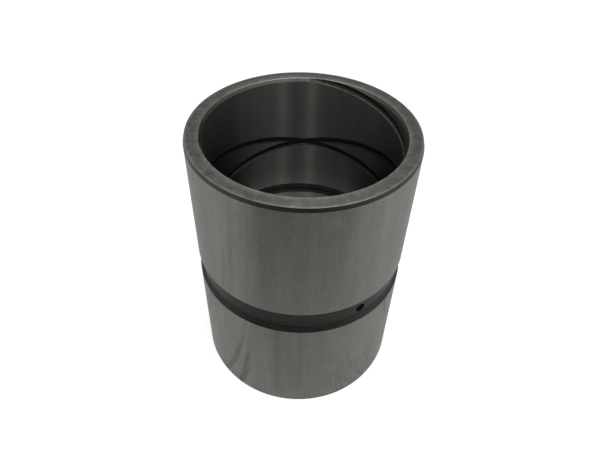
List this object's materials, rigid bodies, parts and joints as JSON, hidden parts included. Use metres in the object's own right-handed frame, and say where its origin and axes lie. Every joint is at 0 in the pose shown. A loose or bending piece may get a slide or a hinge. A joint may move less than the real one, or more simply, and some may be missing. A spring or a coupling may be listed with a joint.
{
  "type": "pin bushing",
  "caption": "Thick-walled steel sleeve for a pivot pin, with a grease groove round the outside, a radial grease hole and crossing helical grease grooves in the bore.",
  "frame": {"origin": "centre of the lower end face, on the axis of the bore", "axes": "+Z along the axis, up through the bore; the grease hole lies 55 degrees from +X towards -Y"},
  "size_m": [0.105, 0.105, 0.14],
  "materials": {
    "bushing": "ground outside and end faces, dark hardened skin in the grooves and chamfers"
  },
  "bodies": {
    "root": {"bushing": "bushing"}
  },
  "joints": []
}
